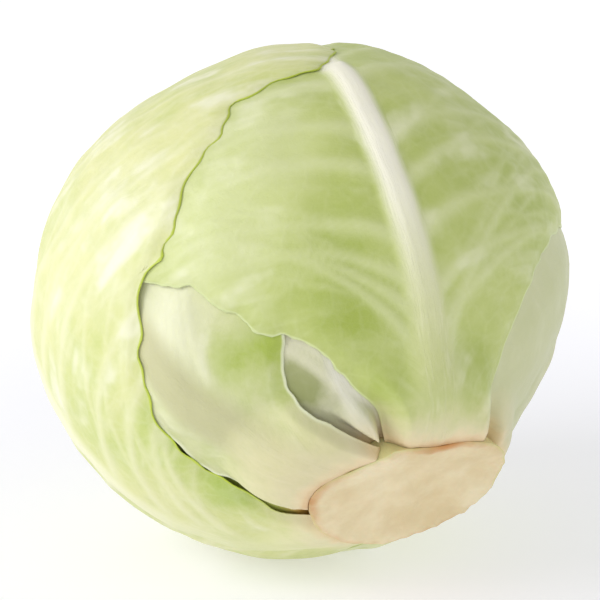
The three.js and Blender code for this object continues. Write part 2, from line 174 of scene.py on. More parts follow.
leaves = {
    "leafUnder": {
        "node": "leaf_under",
        "slot": "leaf_pale",
        "clock": 168,
        "base": (120, 156, 181),
        "left": [(-28, -65), (-37, -50), (-43, -34), (-48, -12), (-49, 12), (-44, 38), (-31, 62), (-14, 78)],
        "right": [(3, -62), (9, -50), (21, -38), (35, -23), (43, -3), (45, 18), (40, 42), (29, 62), (16, 77)],
        "rib": [(-3, -55), (-2, -30), (-1, 0), (1, 35), (2, 62)],
        "tip": (2, 84),
        "ribHeight": 1.2,
        "ribHalf": 6.5,
        "ribFan": 8,
        "stalk": (0.2, 10),
        "grid": (90, 100),
        "veins": [(-50, 2.2), (-38, 1.7), (-24, 1.3), (-9, 1.1), (8, 1.0), (25, 0.9), (42, 0.8), (58, 0.7)],
        "spots": [(0, -20, 30, 0.2)],
        "seed": 11,
    },
    "leafLeft": {
        "node": "leaf_left",
        "slot": "leaf_pale",
        "clock": -105,
        "base": (-188, -139, -114),
        "left": [
            (-43, -75), (-58, -60), (-67, -40), (-71, -14), (-71, 12), (-66, 36), (-52, 60), (-30, 78), (-4, 90),
        ],
        "right": [
            (-1, -62), (3, -58), (7, -54), (9.3, -48.8), (11.8, -43.8), (14.2, -39), (17, -35), (20, -31), (25, -28),
            (28, -24.4), (32, -22), (35.8, -19.6), (38.2, -16.8), (41, -14.2), (44.6, -12.6), (47.6, -12.2),
            (49.8, -12.8), (51.8, -10.2), (54.8, -9), (57.4, -6.8), (59.4, -3.6), (61, -1.4), (63.6, 0.4),
            (66.4, 2.8), (68.8, 5), (71.2, 6.2), (72.8, 8), (74, 11.4), (76, 16.3),
            (80, 17.4), (85.4, 21.3), (90, 22.6), (95, 26), (96, 44), (84, 66), (60, 82), (34, 92),
        ],
        "rib": [(-19, -56), (-17, -42), (-13, -28), (-7, -12), (-2, 4), (2, 28), (6, 60)],
        "tip": (14, 95),
        "ribHeight": 1.4,
        "ribHalf": 7,
        "ribFan": 8,
        "stalk": (0.3, 12),
        "grid": (150, 170),
        "veins": [
            (-58, 1.2), (-48, 0.8), (-37, 0.6), (-25, 0.5), (-13, 0.45), (0, 0.4), (13, 0.3), (27, 0.2),
            (43, 0.12), (58, 0.1), (72, 0.1),
        ],
        "spots": [
            (15, -39, 9, 1.3), (7, -52, 8, 1.7), (22, -31, 7, 0.5), (6, -25, 9, 0.4), (39, 2, 20, -0.4),
            (-16, -50, 9, 0.5), (-28, -28, 9, 0.2), (20, -12, 8, 0.3),
        ],
        "seed": 23,
    },
    "leafFront": {
        "node": "leaf_front",
        "slot": "leaf_green",
        "clock": -3,
        "base": (-31, 2, 58),
        "left": [
            (-14, -64), (-16, -61), (-20, -56.5), (-23, -51.5), (-26.5, -46.5), (-29.5, -43), (-33, -40.7),
            (-36.8, -39), (-39.2, -37.2), (-39.8, -34.4), (-42, -31.8), (-44.8, -29), (-46, -25.6), (-48.6, -22),
            (-52.8, -18.6), (-57, -15), (-63, -7),
            (-68, 6), (-70, 24), (-64, 48), (-50, 70), (-28, 88),
        ],
        "right": [
            (22, -66), (23, -58), (27, -48), (34, -38), (46, -26), (59, -17), (69, -4), (73, 16), (69, 40),
            (56, 64), (34, 84),
        ],
        "rib": [(0, -52), (-2, -25), (-2, 0), (0, 25), (3, 60)],
        "tip": (5, 97),
        "ribHeight": 2.6,
        "ribHalf": 6,
        "ribFan": 14,
        "stalk": (1.0, 22),
        "grid": (150, 170),
        "veins": [
            (-60, 1.9), (-50, 1.2), (-40, 0.8), (-30, 0.62), (-19, 0.6), (-8, 0.55), (5, 0.55), (19, 0.55),
            (34, 0.5), (50, 0.5), (66, 0.4),
        ],
        "spots": [
            (-15, -39, 10, 0.9), (-13, -57, 6, 0.8), (-16, -26, 9, 0.7), (-28, -35, 9, 0.2), (22, -29, 9, 0.35),
            (15, -54, 6, 0.6), (36, -20, 11, 0.5), (-35, -14, 11, -0.6), (-46, -21, 8, -0.5), (-20, -12, 7, -0.3),
            (-23, 2, 9, -0.8), (-15, -41, 7, 0.8),
        ],
        "seed": 37,
    },
    "leafRight": {
        "node": "leaf_right",
        "slot": "leaf_pale",
        "clock": 75,
        "base": (38, 88, 146),
        "left": [
            (-29, -65), (-37, -56), (-42, -45), (-45, -33), (-50, -16), (-51, 0), (-49, 24), (-40, 48), (-24, 70),
        ],
        "right": [(39, -70), (49, -54), (56, -36), (60, -16), (61, 4), (58, 28), (46, 54), (26, 76)],
        "rib": [(8, -55), (10, -30), (9, 0), (6, 35), (3, 62)],
        "tip": (2, 88),
        "ribHeight": 1.6,
        "ribHalf": 6.5,
        "ribFan": 8,
        "stalk": (0.45, 13),
        "grid": (110, 110),
        "veins": [(-52, 2.2), (-38, 1.7), (-22, 1.3), (-6, 1.1), (12, 1.0), (30, 0.9), (48, 0.8)],
        "spots": [(-20, -20, 16, 0.3)],
        "seed": 41,
    },
    "leafLower": {
        "node": "leaf_lower",
        "slot": "leaf_inner_pale",
        "clock": -78,
        "base": (-91, -60, -34.5),
        "left": [
            (-6, -62), (-7.6, -57), (-9.6, -51), (-10.4, -47), (-9.4, -42), (-7.2, -36), (-6.6, -31), (-9, -25),
            (-9, -17), (-4, -5),
        ],
        "right": [(19.4, -61), (19, -55), (21, -49), (25.4, -44), (31, -39), (34, -28), (32, -14), (23, 0)],
        "rib": [(8, -60), (6, -51), (5, -42), (5, -33), (7, -20)],
        "tip": (9, 6),
        "ribHeight": 2.6,
        "ribHalf": 11.5,
        "ribFan": 3,
        "stalk": (1.0, 20),
        "stalkFlat": 0.75,
        "stalkDrop": 0.5,
        "ripple": 0.15,
        "clear": (0.4, 2.6),
        "grid": (90, 100),
        "veins": [(-52, 2.4), (-44, 1.9), (-36, 1.5), (-27, 1.2), (-17, 1.0)],
        "spots": [(27, -41, 6, 1.0), (21, -50, 4, 0.8), (19, -36, 6, 0.5), (15, -20, 9, -1.2), (7, -25, 8, -0.8)],
        "seed": 53,
    },
    "leafInner": {
        "node": "leaf_inner",
        "slot": "leaf_inner_pale",
        "clock": -42,
        "base": (-60, -38, -18),
        "left": [(-10, -60), (-14, -52), (-17, -42), (-17, -32), (-12, -23)],
        "right": [(11, -60), (14, -52), (17, -42), (18, -32), (14, -23)],
        "rib": [(5, -58), (6, -50), (8, -42), (8, -32)],
        "tip": (2, -17),
        "ribHeight": 1.0,
        "ribHalf": 6,
        "ribFan": 4,
        "stalk": (0.9, 14),
        "stalkFlat": 0.8,
        "clear": (0.8, 3.0),
        "grid": (60, 60),
        "veins": [(-56, 2.2), (-48, 1.8), (-40, 1.5), (-32, 1.2)],
        "spots": [(-1, -45, 6, 1.0), (-4, -50, 5, 1.0), (6, -53, 4, -0.8)],
        "seed": 67,
    },
}
blade = {
    "sideShare": 0.74,
    "stalkBelowFace": 0.5,
    "stalkFlat": 0.6,
    "footGap": 0.2,
    "veinHeight": 0.32,
    "veinWidth": 2.3,
    "veinLean": 38.0,
    "veinStart": 2.5,  # degrees by which a vein's start is moved at random
    "veinSlope": (0.85, 1.15),
    "veinFork": (14, 26),
    "veinSwing": (0.35, 0.6),
    "veinWave": 9,
    "veinWaveHeight": 0.8,
    "veinWaveReach": (4, 20),
    "veinThins": 30,
    "veinFades": 45,
    "veinBesideRib": (0.5, 1.3),  # shares of the midrib's half width
    "forks": ((0, 1.0), (1, 0.6), (-0.8, 0.55)),  # the vein itself and its two forks: swing, strength
    "forkWidth": 0.7,
    "ribTaper": 0.45,
    "ribFanShare": 0.075,
    "ribPaleReach": (0.4, 1.2),
    "ribRiseReach": (0.15, 1.25),
    "ribFalls": 0.6,
    "ribFootPale": 0.3,
    "ribFootShare": (0.02, 0.38),
    "dryReach": (0.3, 2.2),
    "swellShare": 0.6,
    "rowCrowding": 1.2,  # more than 1 sets the grid's rows closer to the midrib
    "pucker": 0.35,
    "swell": 0.5,
    "puckerWave": 15,
    "swellWave": 46,
    "tuck": 0.85,
    "tuckReach": 5.0,
    "edgeThin": 0.4,  # share of the thickness left at the very edge
    "edgeThinReach": 5,
}
ripple = {"wave": (5.0, 15.0), "height": 0.45}  # the small waves of a cut edge
torn = {"wave": 4.5, "height": 0.3, "reach": (1.0, 7.0), "stemHeight": 0.3}  # where the stalks were cut
# how far outside a covering leaf's edge a stalk or a rib starts to rise, and over how much more it does
stalkClear = (1.5, 5.0)
ribClear = (1.0, 5.0)


def fromMap(leaf, p):
    reach = np.maximum(np.hypot(p[:, 0], p[:, 1]), 1e-9)
    r = np.radians(reach)
    side = np.sin(r) / reach
    return (
        np.multiply.outer(np.cos(r), leaf["middle"])
        + np.multiply.outer(side * p[:, 0], leaf["across"])
        + np.multiply.outer(side * p[:, 1], leaf["up"])
    )


def toMap(leaf, d):
    x, y = d @ leaf["across"], d @ leaf["up"]
    flat = np.maximum(np.hypot(x, y), 1e-9)
    reach = np.degrees(np.arctan2(flat, d @ leaf["middle"]))
    return np.stack([reach * x / flat, reach * y / flat], axis=-1)


def curveThrough(points, steps=24):  # a smooth curve as many points, with their share of its length
    p = np.array(points, float)
    p = np.vstack([p[:1], p, p[-1:]])
    t = np.linspace(0, 1, steps, endpoint=False)[:, None]
    runs = []
    for a, b, c, d in zip(p, p[1:], p[2:], p[3:]):
        runs.append(between(a, b, c, d, t))
    line = np.vstack(runs + [p[-1:]])
    length = np.concatenate([[0], np.cumsum(np.hypot(*np.diff(line, axis=0).T))])
    return line, length / length[-1]


def along(curve, share):
    line, length = curve
    return np.stack([np.interp(share, length, line[:, 0]), np.interp(share, length, line[:, 1])], axis=-1)


def footOnMap(leaf, side):
    left, middle, right = leaf["base"]
    clock = np.where(side < 0, middle + (left - middle) * -side, middle + (right - middle) * side)
    return toMap(leaf, directionOf(stemSidePolar(clock, blade["footGap"]), clock))


def rippled(curve, seed, height):  # the same curve with the small waves of a cut edge, none at its ends
    line, length = curve
    draw = np.random.default_rng(seed)
    run = np.hypot(*np.diff(line, axis=0).T).sum() * mmPerDegree * length
    wave = sum(np.sin(run * 2 * math.pi / draw.uniform(*ripple["wave"]) + draw.uniform(0, 6.3)) for _ in range(4))
    wave = wave * height / mmPerDegree / 2 * smooth(length, 0.06, 0.12) * (1 - smooth(length, 0.9, 0.97))
    way = np.gradient(line, axis=0)
    way /= np.hypot(*way.T)[:, None] + 1e-9
    return line + wave[:, None] * np.stack([-way[:, 1], way[:, 0]], axis=-1), length


def prepare(leaf):
    leaf["middle"] = directionOf(90, leaf["clock"])
    leaf["across"] = directionOf(90, leaf["clock"] + 90)
    leaf["up"] = -stemAxis
    foot = footOnMap(leaf, np.array([-1.0, 0.0, 1.0]))
    height = leaf.get("ripple", ripple["height"])
    leaf["leftCurve"] = rippled(curveThrough([foot[0], *leaf["left"], leaf["tip"]]), leaf["seed"], height)
    leaf["ribCurve"] = curveThrough([foot[1], *leaf["rib"], leaf["tip"]])
    leaf["rightCurve"] = rippled(curveThrough([foot[2], *leaf["right"], leaf["tip"]]), leaf["seed"] + 1, height)
    share = np.linspace(0, 1, 120)
    leaf["outline"] = np.vstack([
        along(leaf["leftCurve"], share),
        along(leaf["rightCurve"], share[::-1]),
        footOnMap(leaf, np.linspace(0.9, -0.9, 15)),
    ])


def patch(leaf, u, side):  # a blended patch between the midrib, the edge on that side, the foot and the tip
    v = np.abs(side)[:, None]
    w = u[:, None]
    share = blade["sideShare"]
    left = (side < 0)[:, None]

    def edge(at):
        return np.where(left, along(leaf["leftCurve"], at), along(leaf["rightCurve"], at))

    rib = along(leaf["ribCurve"], u)
    start, end = along(leaf["ribCurve"], np.zeros(1)), along(leaf["ribCurve"], np.ones(1))
    corners = (1 - w) * ((1 - v) * start + v * edge(np.zeros(1)))
    corners = corners + w * ((1 - v) * end + v * edge(np.full(1, share)))
    sides = (1 - v) * rib + v * edge(u * share)
    ends = (1 - w) * footOnMap(leaf, side) + w * edge(1 - np.abs(side) * (1 - share))
    return sides + ends - corners


def insideBy(leaf, d):  # millimetres from the leaf's outline: more than 0 inside it
    p = toMap(leaf, d)
    a = leaf["outline"]
    b = np.roll(a, -1, axis=0)
    run = b - a
    square = (run**2).sum(1) + 1e-12
    out = np.empty(len(p))
    for i in range(0, len(p), 8000):
        q = p[i : i + 8000, None, :]
        t = np.clip(((q - a) * run).sum(2) / square, 0, 1)
        apart = np.hypot(q[..., 0] - a[:, 0] - t * run[:, 0], q[..., 1] - a[:, 1] - t * run[:, 1]).min(1)
        crosses = (a[:, 1] > q[..., 1]) != (b[:, 1] > q[..., 1])
        at = a[:, 0] + run[:, 0] * (q[..., 1] - a[:, 1]) / np.where(run[:, 1] == 0, 1e-12, run[:, 1])
        inside = (crosses & (q[..., 0] < at)).sum(1) % 2 == 1
        out[i : i + 8000] = np.where(inside, apart, -apart)
    return out * mmPerDegree


def cover(gap, step, ramp):
    return smooth(gap, -step - ramp, -step)


def fromRib(leaf, p):  # millimetres across the map from the midrib
    rib = np.array(leaf["rib"], float)
    return np.abs(p[:, 0] - np.interp(p[:, 1], rib[:, 1], rib[:, 0])) * mmPerDegree


def veinsOf(leaf, p, side):  # how strongly a side vein or its fork shows at each place, 0 to 1
    a = fromRib(leaf, p)
    y = p[:, 1] * mmPerDegree
    lean = blade["veinLean"]
    draw = np.random.default_rng(leaf["seed"])
    total = np.zeros(len(p))
    for start, slope in leaf["veins"]:
        for wanted in (-1, 1):
            low = (start + draw.uniform(-blade["veinStart"], blade["veinStart"])) * mmPerDegree
            slope2 = slope * draw.uniform(*blade["veinSlope"])
            fork = draw.uniform(*blade["veinFork"])
            swing = draw.uniform(*blade["veinSwing"])
            phase = draw.uniform(0, 6.3)
            near = np.where(np.sign(side) == wanted, 1.0, 0.0)
            path = low + slope2 * lean * (1 - np.exp(-a / lean))
            wave = blade["veinWaveHeight"] * np.sin(a / blade["veinWave"] + phase)
            path = path + wave * smooth(a, *blade["veinWaveReach"])
            steep = slope2 * np.exp(-a / lean)
            for turn, strength in blade["forks"]:
                branch = swing * turn
                way = path + branch * np.maximum(a - fork, 0)
                begun = np.where(a > fork, 1, 1.0 if branch == 0 else 0.0)
                wide = blade["veinWidth"] * (0.55 + 0.6 * np.exp(-a / blade["veinThins"]))
                wide = wide * (1 if branch == 0 else blade["forkWidth"])
                off = np.abs(y - way) / np.sqrt(1 + (steep + branch) ** 2) / wide
                faint = 0.45 + 0.55 * np.exp(-a / blade["veinFades"])
                total = np.maximum(total, near * strength * begun * np.exp(-(off**2)) * faint)
    return total


def flowOf(leaf, p, side):  # a place as its veins run: where its vein leaves the midrib, how far out, and the side
    a = fromRib(leaf, p)
    starts, slopes = np.array(leaf["veins"]).T
    slope = np.interp(p[:, 1], starts, slopes)
    foot = p[:, 1] * mmPerDegree - slope * blade["veinLean"] * (1 - np.exp(-a / blade["veinLean"]))
    return np.stack([foot / 100, a / 100, np.sign(side) * smooth(a, 0, 6) * 0.4], axis=-1)


def fieldsOf(leaf, u, side):
    p = patch(leaf, u, side)
    v = np.abs(side)
    a = np.hypot(*(p - along(leaf["ribCurve"], u)).T) * mmPerDegree
    ribHalf = leaf["ribHalf"] * (1 - blade["ribTaper"] * u) + leaf["ribFan"] * np.exp(-u / blade["ribFanShare"])
    ribAcross = a / ribHalf
    fields = {"rib": 1 - smooth(ribAcross, *blade["ribPaleReach"]), "map": p, "v": v}
    fields["ribRise"] = (1 - smooth(ribAcross, *blade["ribRiseReach"])) * (1 - u) ** blade["ribFalls"]
    fields["vein"] = veinsOf(leaf, p, side) * smooth(ribAcross, *blade["veinBesideRib"])
    fields["flow"] = flowOf(leaf, p, side)
    fields["edgeGap"] = insideBy(leaf, fromMap(leaf, p))
    return fields


def leafPoints(leaf, above, u, side):
    fields = fieldsOf(leaf, u, side)
    d = fromMap(leaf, fields["map"])
    gaps = [insideBy(other, d) for other in above]
    depth = sum((layer["pitch"] * cover(g, layer["step"], layer["ramp"]) for g in gaps), np.zeros(len(d)))
    openRib, openStalk = np.ones(len(d)), np.ones(len(d))
    for g in gaps:
        openRib = np.minimum(openRib, 1 - cover(g, *leaf.get("clear", ribClear)))
        openStalk = np.minimum(openStalk, 1 - cover(g, *leaf.get("clear", stalkClear)))
    skin = aboveFloor(d, skinRadius(d)) - depth
    swell = blade["swell"] * wobble(d, leaf["seed"], blade["swellWave"])
    swell = swell + blade["pucker"] * wobble(d, leaf["seed"] + 1, blade["puckerWave"])
    relief = leaf["ribHeight"] * fields["ribRise"] + blade["veinHeight"] * fields["vein"]
    relief = relief + swell * openRib * blade["swellShare"]
    relief -= blade["tuck"] * (1 - smooth(fields["edgeGap"], 0, blade["tuckReach"]))
    outer = skin + openRib * relief
    clock = clockOf(d)
    polar = polarOf(d)
    rise, reach = leaf["stalk"]
    rise = rise * (1 - smooth(polar - stemSidePolar(clock, blade["footGap"]), 0, reach))
    flat = leaf.get("stalkFlat", blade["stalkFlat"])
    rise = rise * (1 - leaf.get("stalkDrop", 1) * smooth(fields["v"], flat, 1.0))
    face = (stem["faceHeight"] - blade["stalkBelowFace"]) / np.cos(np.radians(np.minimum(polar, 45)))
    outer = outer + (np.maximum(outer, face) - outer) * rise * openStalk
    nearFoot = 1 - smooth(polar - stemSidePolar(clock, 0), *torn["reach"])
    tornRise = torn["height"] * wobble(d, leaf["seed"] + 7, torn["wave"])
    outer = outer + tornRise * nearFoot * smooth(fields["edgeGap"], 0, 2)
    return aboveFloor(d, outer), d, fields


def asObject(name, mesh, material):
    piece = bpy.data.objects.new(name, mesh)
    bpy.context.scene.collection.objects.link(piece)
    mesh.materials.append(material)
    mesh.shade_smooth()
    return piece


def setAttribute(mesh, name, values):
    layerData = mesh.attributes.new(name, "FLOAT", "POINT")
    layerData.data.foreach_set("value", np.asarray(values, np.float32))


def buildLeaf(name, leaf, above, material):
    bm = bmesh.new()
    acrossCount, alongCount = leaf["grid"][1], leaf["grid"][0]
    bmesh.ops.create_grid(bm, x_segments=acrossCount, y_segments=alongCount, size=1.0)
    sideLayer = bm.verts.layers.float.new("side")
    alongLayer = bm.verts.layers.float.new("along")
    for vert in bm.verts:
        vert[sideLayer] = math.copysign(abs(vert.co.x) ** blade["rowCrowding"], vert.co.x)
        vert[alongLayer] = (vert.co.y + 1) / 2
    underLayer = bm.verts.layers.float.new("under")
    walls = bmesh.ops.extrude_face_region(bm, geom=bm.faces[:], use_keep_orig=True)
    for item in walls["geom"]:
        if isinstance(item, bmesh.types.BMVert):
            item[underLayer] = 1.0
    bm.verts.index_update()
    side, u, under = (np.array([vert[key] for vert in bm.verts]) for key in (sideLayer, alongLayer, underLayer))
    outer, d, fields = leafPoints(leaf, above, u, side)
    edgeThin = blade["edgeThin"]
    thin = layer["thickness"] * (edgeThin + (1 - edgeThin) * smooth(fields["edgeGap"], 0, blade["edgeThinReach"]))
    points = centre + d * (outer - thin * under)[:, None]
    for vert, point in zip(bm.verts, points * mm):
        vert.co = point
    bmesh.ops.recalc_face_normals(bm, faces=bm.faces[:])
    mesh = bpy.data.meshes.new(name)
    bm.to_mesh(mesh)
    bm.free()
    footPale = blade["ribFootPale"]
    setAttribute(mesh, "rib", fields["rib"] * (footPale + (1 - footPale) * smooth(u, *blade["ribFootShare"])))
    setAttribute(mesh, "vein", fields["vein"])
    setAttribute(mesh, "edgeGap", np.clip(fields["edgeGap"], 0, 30))
    footGap = polarOf(d) - stemSidePolar(clockOf(d), 0)
    setAttribute(mesh, "footGap", footGap)
    setAttribute(mesh, "dry", brownAt(clockOf(d)) * (1 - smooth(footGap, *blade["dryReach"])))
    tone = np.zeros(len(u))
    for x, y, reach, strength in leaf["spots"]:
        apart = np.hypot(fields["map"][:, 0] - x, fields["map"][:, 1] - y) / reach
        tone += strength * np.exp(-(apart**2))
    setAttribute(mesh, "tone", tone)
    flow = mesh.attributes.new("flow", "FLOAT_VECTOR", "POINT")
    flow.data.foreach_set("vector", fields["flow"].astype(np.float32).ravel())
    uvLayer = mesh.uv_layers.new(name="leafMap")
    corner = np.empty(len(mesh.loops), np.int32)
    mesh.loops.foreach_get("vertex_index", corner)
    uvLayer.data.foreach_set("uv", (fields["map"][corner] * mmPerDegree / 100).astype(np.float32).ravel())
    piece = asObject(name, mesh, material)
    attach(piece, "root")
    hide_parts(leaf["node"])
    print("leaf", name, len(mesh.polygons), "faces")


def colour(hexText):
    def linear(c):
        return c / 12.92 if c <= 0.04045 else ((c + 0.055) / 1.055) ** 2.4

    return tuple(linear(int(hexText[i : i + 2], 16) / 255) for i in (0, 2, 4)) + (1.0,)


class Value:  # a number that varies over the surface, with ordinary arithmetic
    def __init__(self, finish, socket):
        self.finish, self.socket = finish, socket

    def combine(self, kind, first, second=None):
        node = self.finish.nodes.new("ShaderNodeMath")
        node.operation = kind
        for slotIndex, part in enumerate((first, second)):
            if isinstance(part, Value):
                self.finish.links.new(part.socket, node.inputs[slotIndex])
            elif part is not None:
                node.inputs[slotIndex].default_value = part
        return Value(self.finish, node.outputs[0])

    def __add__(self, other):
        return self.combine("ADD", self, other)

    def __radd__(self, other):
        return self.combine("ADD", other, self)

    def __sub__(self, other):
        return self.combine("SUBTRACT", self, other)

    def __rsub__(self, other):
        return self.combine("SUBTRACT", other, self)

    def __mul__(self, other):
        return self.combine("MULTIPLY", self, other)

    def __rmul__(self, other):
        return self.combine("MULTIPLY", other, self)

    def clamped(self):
        return self.combine("MINIMUM", self.combine("MAXIMUM", self, 0.0), 1.0)

    def ramp(self, low, high):  # 0 below low and 1 above high, smooth between
        return Value(self.finish, self.finish.add("MapRange", {"interpolation_type": "SMOOTHSTEP"},
                     {"Value": self, "From Min": low, "From Max": high}).outputs[0])


class Finish:  # one material and its nodes
    def __init__(self, name):
        self.material = bpy.data.materials.new(name)
        self.material.use_nodes = True
        self.nodes, self.links = self.material.node_tree.nodes, self.material.node_tree.links
        self.shader = self.nodes["Principled BSDF"]

    def add(self, kind, settings=None, inputs=None):
        node = self.nodes.new("ShaderNode" + kind)
        for key, setting in (settings or {}).items():
            setattr(node, key, setting)
        for key, given in (inputs or {}).items():
            socket = node.inputs[key]
            if isinstance(given, Value):
                self.links.new(given.socket, socket)
            elif hasattr(given, "is_output"):
                self.links.new(given, socket)
            else:
                socket.default_value = given
        return node

    def attribute(self, name):
        return Value(self, self.add("Attribute", {"attribute_name": name}).outputs["Fac"])

    def noise(self, place, scale, detail=3.0, rough=0.5):
        node = self.add("TexNoise", None, {"Vector": place, "Scale": scale, "Detail": detail, "Roughness": rough})
        return Value(self, node.outputs["Fac"])

    def mix(self, share, first, second):
        node = self.add("Mix", {"data_type": "RGBA"}, {"Factor": share})
        for key, given in ((6, first), (7, second)):
            if isinstance(given, tuple):
                node.inputs[key].default_value = given
            else:
                self.links.new(given, node.inputs[key])
        return node.outputs[2]

    def bump(self, height, distance, strength=1.0, under=None):
        inputs = {"Height": height, "Distance": distance, "Strength": strength}
        if under:
            inputs["Normal"] = under
        return self.add("Bump", None, inputs).outputs["Normal"]


leafLook = {  # colours, then how strong the green patches, the fine net, the side veins and the milky streaks are
    "leafUnder": {
        "blade": "dfe2aa", "green": "c9d388", "vein": "eef0d0", "rib": "eff1d0", "foot": "e6dcb4", "edge": "c3d07a",
        "patch": 0.5, "net": 0.1, "veins": 0.4, "milk": 0.6,
    },
    "leafLeft": {
        "blade": "dcdd9d", "green": "aec15f", "vein": "f1f0d4", "rib": "efeecb", "foot": "e8deb8", "edge": "bccf3c",
        "patch": 0.62, "net": 0.1, "veins": 0.4, "milk": 0.75,
    },
    "leafFront": {
        "blade": "c2cc80", "green": "a2b24e", "vein": "e4e7be", "rib": "fdf9e6", "foot": "e2d8b0", "edge": "d4dea2",
        "ribLow": "dddcae", "patch": 0.8, "net": 0.08, "veins": 0.35, "milk": 0.65,
    },
    "leafRight": {
        "blade": "c8cb9e", "green": "bbc487", "vein": "d9dab6", "rib": "d9d9b4", "foot": "dcd3ac", "edge": "b6c070",
        "patch": 0.3, "net": 0.05, "veins": 0.25, "milk": 0.4,
    },
    "leafLower": {
        # the lower leaf's midrib colour is a darker grey-beige, as painted shade of the crease along its stalk
        "blade": "cfd2a0", "green": "a3b54a", "vein": "ebebcd", "rib": "c1bf93", "foot": "e6dab2", "edge": "e6eac4",
        "footReach": 24.0, "edgeWide": 1.2, "patch": 0.95, "net": 0.04, "veins": 0.3, "milk": 0.5,
    },
    "leafInner": {
        "blade": "e2e0c0", "green": "999f66", "vein": "ece8d0", "rib": "e0decb", "foot": "e0d0a8", "edge": "c0c780",
        "patch": 0.9, "net": 0.03, "veins": 0.25, "milk": 0.4,
    },
}
wax = {
    "broad": (2.6, 3.0),  # scale, detail and roughness of each noise
    "mottled": (14.0, 4.0, 0.6),
    "streak": (11.0, 2.0, 0.5),
    "fineStreak": (42.0, 3.0, 0.6),
    "cloud": (5.5, 3.0, 0.55),
    "grain": (90.0, 3.0, 0.6),
    "streakStretch": (1.0, 0.22, 1.0),
    "dryFoot": "d0924c",
    "tornFoot": "f0d7ab",
    "tornReach": (0.4, 5.0),
    "footReach": 13.0,
    "edgeWide": 0.8,
    "ribPale": (12.0, 60.0),  # millimetres from the stem over which the midrib turns from its low colour
    "roughness": 0.4,
    "roughnessSpread": 0.12,
    "subsurface": 0.12,
    "subsurfaceScale": 0.0025,
    "subsurfaceRadius": (1.0, 1.0, 0.45),
    "ior": 1.42,
    "netCell": 6.5,
    "fineNetCell": 2.5,
    "reliefBump": 0.00009,
    "grainBump": 0.00016,
}


def netOf(finish, place, cell, width):  # 1 on the lines between cells of that size in millimetres, else 0
    cells = finish.add("TexVoronoi", {"feature": "DISTANCE_TO_EDGE"}, {"Vector": place, "Scale": 100 / cell})
    return 1 - Value(finish, cells.outputs["Distance"]).ramp(0.0, width)


